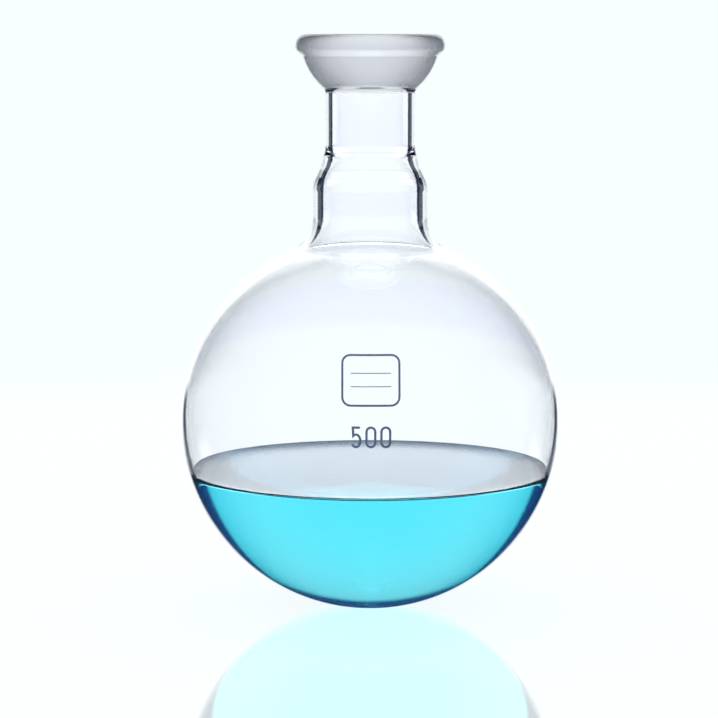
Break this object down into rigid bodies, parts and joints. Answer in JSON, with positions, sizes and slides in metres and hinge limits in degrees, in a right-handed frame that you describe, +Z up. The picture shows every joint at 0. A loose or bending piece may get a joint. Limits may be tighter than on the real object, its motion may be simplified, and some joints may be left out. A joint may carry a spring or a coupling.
{
  "type": "round-bottom receiving flask",
  "caption": "Single-neck round-bottom glass flask with a spherical ground socket on a stepped neck, part filled with a blue liquid; catches the liquid that runs down from a condenser.",
  "frame": {"origin": "lowest point of the bulb, on the axis of the flask", "axes": "+Z up along the axis, from the bulb through the neck to the socket; X and Y are level and alike"},
  "size_m": [0.1056, 0.1056, 0.1603],
  "materials": {
    "clear_glass": "gloss",
    "blue_liquid": "gloss"
  },
  "bodies": {
    "root": {"flask": "clear_glass", "liquid": "blue_liquid"}
  },
  "joints": []
}
